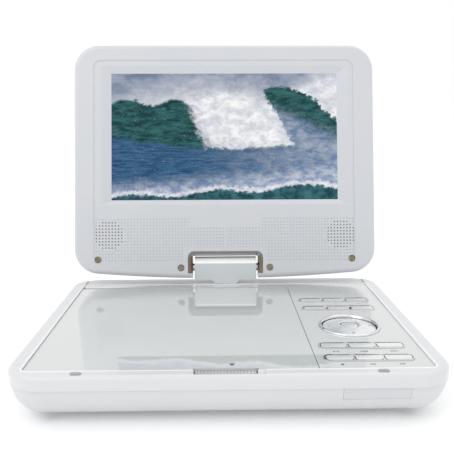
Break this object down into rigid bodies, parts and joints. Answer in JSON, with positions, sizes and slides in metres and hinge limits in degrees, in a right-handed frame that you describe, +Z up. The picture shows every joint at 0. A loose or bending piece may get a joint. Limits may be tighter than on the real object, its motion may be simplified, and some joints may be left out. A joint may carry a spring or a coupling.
{
  "type": "portable dvd player",
  "caption": "Portable disc player: flat base with a disc bay and a key column, and a widescreen lid that tilts and swivels on a rear hinge block.",
  "frame": {"origin": "centre of the base's flat underside; the four feet reach 2 mm below it", "axes": "+X to the user's right, +Z up, the user sits on the -Y side; stored with the lid open 102.7 degrees"},
  "size_m": [0.203, 0.1906, 0.1817],
  "materials": {
    "shell": "satin white moulded plastic",
    "gloss_deck": "clear-coated glossy white",
    "chrome": "bright plated",
    "silver": "metallic silver lacquer",
    "circuit_board": "solder mask",
    "grey_rubber": "soft grey",
    "dark_rubber": "matt",
    "steel": "rolled, plated",
    "brass": "passivated",
    "dark_plastic": "fine grain",
    "yellow_plastic": "plain",
    "smoked_window": "tinted infra-red window in the shell colour",
    "battery_wrap": "shrink wrap",
    "pale_nylon": "natural",
    "lens": "coated lens",
    "cable": "sheathed",
    "picture": "lit display"
  },
  "bodies": {
    "base": {"base_lower_shell": "shell", "base_upper_shell": "shell", "control_panel": "gloss_deck", "row_frames": "chrome", "nav_ring": "chrome", "key_board": "circuit_board", "rim_bumpers": "grey_rubber", "feet": "dark_rubber", "base_screws": "steel", "drive_chassis": "steel", "drive_dampers": "dark_rubber", "spindle_motor": "steel", "guide_rods": "chrome", "feed_motor": "steel", "main_board": "circuit_board", "battery_pack": "battery_wrap", "dc_jack": "dark_plastic", "av_jack": "yellow_plastic", "headphone_jack": "dark_plastic", "usb_port": "steel", "ir_window": "smoked_window", "swivel_bush": "steel", "door_pins": "steel"},
    "disc_door": {"disc_door": "gloss_deck"},
    "open_button": {"open_button": "silver"},
    "power_slider": {"power_slider": "dark_plastic"},
    "spindle": {"spindle_hub": "dark_plastic"},
    "pickup": {"pickup_sled": "dark_plastic", "pickup_lens": "lens"},
    "feed_gear": {"feed_gear": "pale_nylon"},
    "feed_pinion": {"feed_pinion": "brass"},
    "swivel": {"hinge_cover_front": "shell", "hinge_cover_rear": "shell", "swivel_shaft": "steel", "tilt_axle": "chrome", "lcd_cable": "cable"},
    "lid": {"lid_bezel": "shell", "lid_back_cover": "shell", "lcd_panel": "picture", "lcd_driver_board": "circuit_board", "speakers": "dark_plastic", "lid_screws": "brass", "notch_trim": "chrome", "lid_hinge_plates": "steel"},
    "nav_carrier": {"nav_carrier": "dark_rubber"},
    "nav_pad": {"nav_pad": "silver"},
    "ok_button": {"ok_button": "silver"},
    "btn_top_1": {"btn_top_1": "silver"},
    "btn_top_2": {"btn_top_2": "silver"},
    "btn_top_3": {"btn_top_3": "silver"},
    "btn_menu_1": {"btn_menu_1": "silver"},
    "btn_menu_2": {"btn_menu_2": "silver"},
    "btn_menu_3": {"btn_menu_3": "silver"},
    "btn_play_1": {"btn_play_1": "silver"},
    "btn_play_2": {"btn_play_2": "silver"},
    "btn_play_3": {"btn_play_3": "silver"},
    "btn_skip_1": {"btn_skip_1": "silver"},
    "btn_skip_2": {"btn_skip_2": "silver"},
    "btn_skip_3": {"btn_skip_3": "silver"}
  },
  "joints": [
    {"name": "lid_swivel", "type": "hinge", "parent": "base", "child": "swivel", "pos_m": [0, 0.0715, 0.0324], "axis": [0, 0, -1], "range_deg": [-90, 180]},
    {"name": "lid_tilt", "type": "hinge", "parent": "swivel", "child": "lid", "pos_m": [0, 0.0715, 0.0324], "axis": [1, 0, 0], "range_deg": [-77.3, 102.7]},
    {"name": "door_lift", "type": "hinge", "parent": "base", "child": "disc_door", "pos_m": [-0.027, 0.0552, 0.0202], "axis": [-1, 0, 0], "range_deg": [0, 40]},
    {"name": "open_slide", "type": "slide", "parent": "base", "child": "open_button", "axis": [0, -1, 0], "range_m": [0, 0.0018], "stiffness_N_per_m": 300},
    {"name": "power_slide", "type": "slide", "parent": "base", "child": "power_slider", "axis": [0, 1, 0], "range_m": [0, 0.004]},
    {"name": "press_top_1", "type": "slide", "parent": "base", "child": "btn_top_1", "axis": [0, 0, -1], "range_m": [0, 0.0007], "stiffness_N_per_m": 400},
    {"name": "press_top_2", "type": "slide", "parent": "base", "child": "btn_top_2", "axis": [0, 0, -1], "range_m": [0, 0.0007], "stiffness_N_per_m": 400},
    {"name": "press_top_3", "type": "slide", "parent": "base", "child": "btn_top_3", "axis": [0, 0, -1], "range_m": [0, 0.0007], "stiffness_N_per_m": 400},
    {"name": "press_menu_1", "type": "slide", "parent": "base", "child": "btn_menu_1", "axis": [0, 0, -1], "range_m": [0, 0.0007], "stiffness_N_per_m": 400},
    {"name": "press_menu_2", "type": "slide", "parent": "base", "child": "btn_menu_2", "axis": [0, 0, -1], "range_m": [0, 0.0007], "stiffness_N_per_m": 400},
    {"name": "press_menu_3", "type": "slide", "parent": "base", "child": "btn_menu_3", "axis": [0, 0, -1], "range_m": [0, 0.0007], "stiffness_N_per_m": 400},
    {"name": "press_play_1", "type": "slide", "parent": "base", "child": "btn_play_1", "axis": [0, 0, -1], "range_m": [0, 0.0007], "stiffness_N_per_m": 400},
    {"name": "press_play_2", "type": "slide", "parent": "base", "child": "btn_play_2", "axis": [0, 0, -1], "range_m": [0, 0.0007], "stiffness_N_per_m": 400},
    {"name": "press_play_3", "type": "slide", "parent": "base", "child": "btn_play_3", "axis": [0, 0, -1], "range_m": [0, 0.0007], "stiffness_N_per_m": 400},
    {"name": "press_skip_1", "type": "slide", "parent": "base", "child": "btn_skip_1", "axis": [0, 0, -1], "range_m": [0, 0.0007], "stiffness_N_per_m": 400},
    {"name": "press_skip_2", "type": "slide", "parent": "base", "child": "btn_skip_2", "axis": [0, 0, -1], "range_m": [0, 0.0007], "stiffness_N_per_m": 400},
    {"name": "press_skip_3", "type": "slide", "parent": "base", "child": "btn_skip_3", "axis": [0, 0, -1], "range_m": [0, 0.0007], "stiffness_N_per_m": 400},
    {"name": "nav_rock_fb", "type": "hinge", "parent": "base", "child": "nav_carrier", "pos_m": [0.0655, -0.0165, 0.02], "axis": [1, 0, 0], "range_deg": [-2.4, 2.4], "stiffness_Nm_per_rad": 0.05},
    {"name": "nav_rock_lr", "type": "hinge", "parent": "nav_carrier", "child": "nav_pad", "pos_m": [0.0655, -0.0165, 0.02], "axis": [0, 1, 0], "range_deg": [-2.4, 2.4], "stiffness_Nm_per_rad": 0.05},
    {"name": "press_ok", "type": "slide", "parent": "base", "child": "ok_button", "axis": [0, 0, -1], "range_m": [0, 0.0007], "stiffness_N_per_m": 400},
    {"name": "disc_spin", "type": "hinge", "parent": "base", "child": "spindle", "pos_m": [-0.027, -0.008, 0.008], "axis": [0, 0, 1], "continuous": true},
    {"name": "pickup_slide", "type": "slide", "parent": "base", "child": "pickup", "axis": [1, 0, 0], "range_m": [-0.006, 0.028]},
    {"name": "feed_gear_spin", "type": "hinge", "parent": "base", "child": "feed_gear", "pos_m": [0.017, -0.0462, 0.009], "axis": [0, 0, 1], "range_deg": [-168, 42]},
    {"name": "feed_pinion_spin", "type": "hinge", "parent": "base", "child": "feed_pinion", "pos_m": [0.0045, -0.0462, 0.008], "axis": [0, 0, 1], "range_deg": [-168, 672]}
  ],
  "couplings": [
    {"joint": "feed_gear_spin", "follows": "pickup_slide", "rad_per_m": -100},
    {"joint": "feed_pinion_spin", "follows": "pickup_slide", "rad_per_m": 400}
  ]
}
